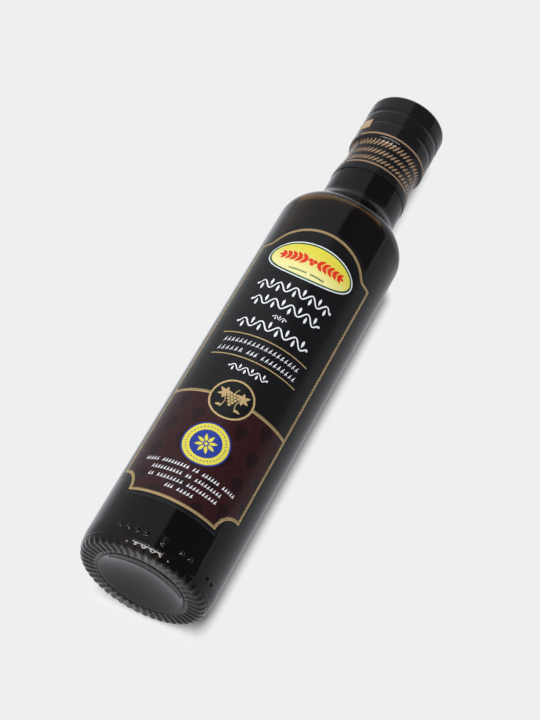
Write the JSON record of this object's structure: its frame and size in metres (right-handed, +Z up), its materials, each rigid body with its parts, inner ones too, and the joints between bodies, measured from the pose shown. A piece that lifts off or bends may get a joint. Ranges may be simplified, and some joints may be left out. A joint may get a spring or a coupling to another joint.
{
  "type": "glass vinegar bottle",
  "caption": "A small dark glass vinegar bottle lying on its side, with a ribbed foot, a curved black front label with a gold frame, and a black capsule over its neck and cap.",
  "frame": {"origin": "centre of the overall box in X and Y, on the ground the bottle lies on", "axes": "+X along the bottle from its base to its cap, +Z up, +Y to the left when looking from the base to the cap"},
  "size_m": [0.2286, 0.0494, 0.0498],
  "materials": {
    "glass": "gloss",
    "vinegar": "liquid",
    "label": "satin",
    "capsule": "gloss",
    "tab": "satin"
  },
  "bodies": {
    "root": {"bottle_glass": "glass", "vinegar": "vinegar", "front_label": "label", "neck_capsule": "capsule", "tear_tab": "tab"}
  },
  "joints": []
}
